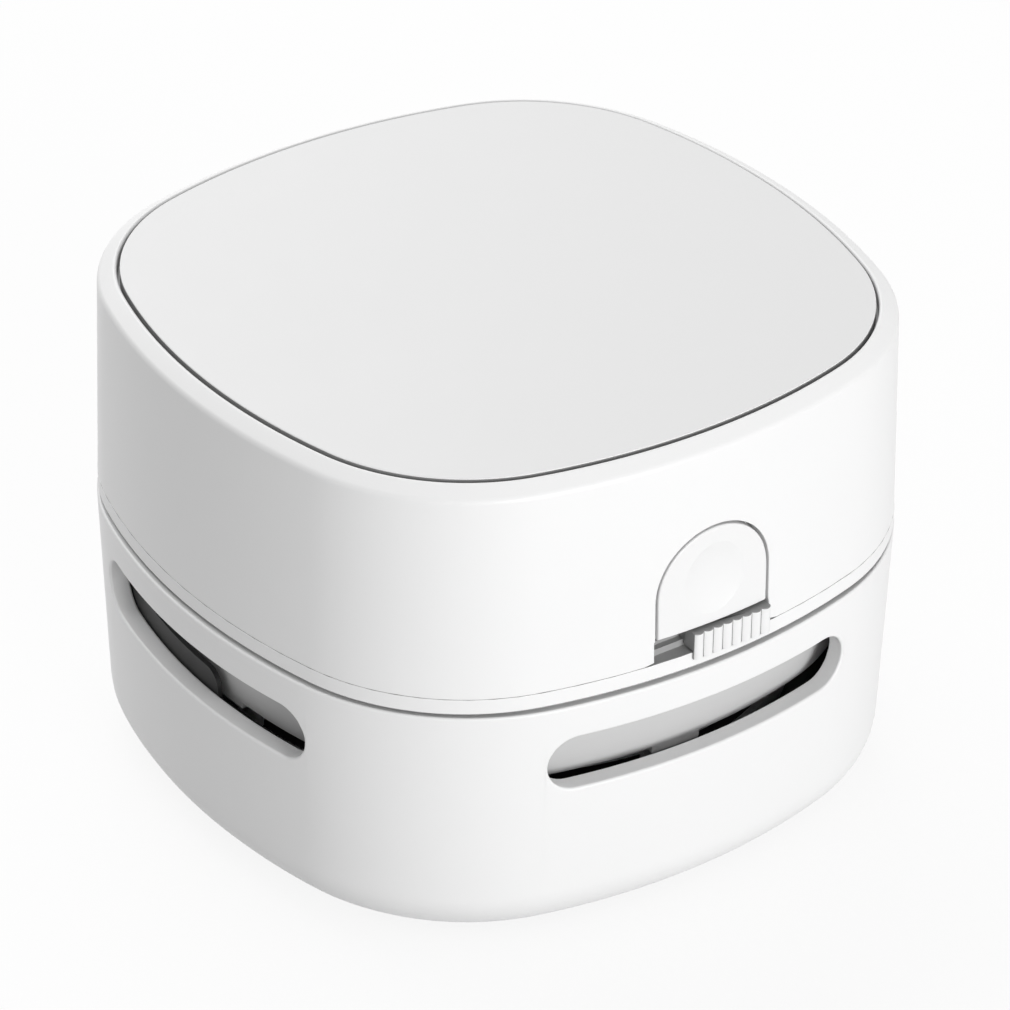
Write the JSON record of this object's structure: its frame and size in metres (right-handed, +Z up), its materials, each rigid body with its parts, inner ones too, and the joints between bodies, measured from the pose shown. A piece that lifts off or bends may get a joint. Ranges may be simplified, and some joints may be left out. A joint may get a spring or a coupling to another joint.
{
  "type": "desktop mini vacuum cleaner",
  "caption": "Rounded-square desktop mini vacuum with a lift-off power head, push release, slide switch, side exhaust slots and a brushed suction inlet.",
  "frame": {"origin": "on the desk, at the middle of the cleaner's footprint", "axes": "+Z up; the front with the release button and the slide switch faces -Y; +X to the right when facing the front"},
  "size_m": [0.086, 0.0872, 0.0611],
  "materials": {
    "white_shell": "fine satin, white",
    "white_inner": "plain moulded, white",
    "button_white": "fine satin, white",
    "latch_white": "plain moulded, white",
    "knob_white": "satin, white",
    "panel_grey": "fine matt, pale grey",
    "dark_liner": "moulded, near black",
    "pale_cup": "moulded, pale grey",
    "plate_grey": "satin, white",
    "bristle": "nylon bristle, dark grey",
    "foot_rubber": "matt grey rubber",
    "seal_rubber": "black rubber",
    "screw_steel": "zinc plated",
    "dark_frame": "moulded, dark",
    "filter_felt": "pressed felt",
    "motor_steel": "drawn can",
    "cap_plastic": "moulded, off-white",
    "clamp_steel": "stamped strip",
    "cell_wrap": "shrink wrap, blue",
    "cradle_plastic": "moulded, dark grey",
    "tab_nickel": "nickel strip",
    "board_green": "circuit board, green",
    "socket_steel": "drawn shell",
    "light_guide": "clear light guide",
    "wire_red": "insulated lead, red",
    "switch_steel": "stamped case",
    "spring_steel": "spring wire",
    "nub_black": "moulded, black",
    "fan_plastic": "moulded, dark grey",
    "shaft_steel": "ground shaft"
  },
  "bodies": {
    "dust_bin": {"lower_housing": "white_shell", "bin_liner": "dark_liner", "dust_cup": "pale_cup", "base_plate": "plate_grey", "brush_ring": "bristle", "rubber_feet": "foot_rubber", "base_screws": "screw_steel"},
    "power_head": {"upper_housing": "white_shell", "top_panel": "panel_grey", "motor_deck": "white_shell", "fan_shroud": "white_inner", "shroud_screws": "screw_steel", "filter_frame": "dark_frame", "filter_pad": "filter_felt", "cup_seal": "seal_rubber", "motor_can": "motor_steel", "motor_end_cap": "cap_plastic", "motor_clamp": "clamp_steel", "clamp_screws": "screw_steel", "battery_cell": "cell_wrap", "battery_cradle": "cradle_plastic", "battery_tabs": "tab_nickel", "charge_board": "board_green", "usb_socket": "socket_steel", "charge_light": "light_guide", "lead_wires": "wire_red", "slide_switch": "switch_steel", "housing_screws": "screw_steel"},
    "release_latch": {"release_button": "button_white", "latch_slider": "latch_white", "latch_spring": "spring_steel"},
    "slide_knob": {"switch_knob": "knob_white", "switch_actuator": "nub_black"},
    "fan": {"impeller": "fan_plastic", "motor_shaft": "shaft_steel"}
  },
  "joints": [
    {"name": "head_lift", "type": "slide", "parent": "dust_bin", "child": "power_head", "axis": [0, 0, 1], "range_m": [0, 0.04]},
    {"name": "button_press", "type": "slide", "parent": "power_head", "child": "release_latch", "axis": [0, 1, 0], "range_m": [0, 0.0015], "stiffness_N_per_m": 600, "springref_m": -0.001, "deforming": ["latch_spring"]},
    {"name": "switch_slide", "type": "slide", "parent": "power_head", "child": "slide_knob", "axis": [-1, 0, 0], "range_m": [0, 0.0048]},
    {"name": "fan_spin", "type": "hinge", "parent": "power_head", "child": "fan", "pos_m": [0, 0, 0.03], "axis": [0, 0, 1], "continuous": true}
  ]
}
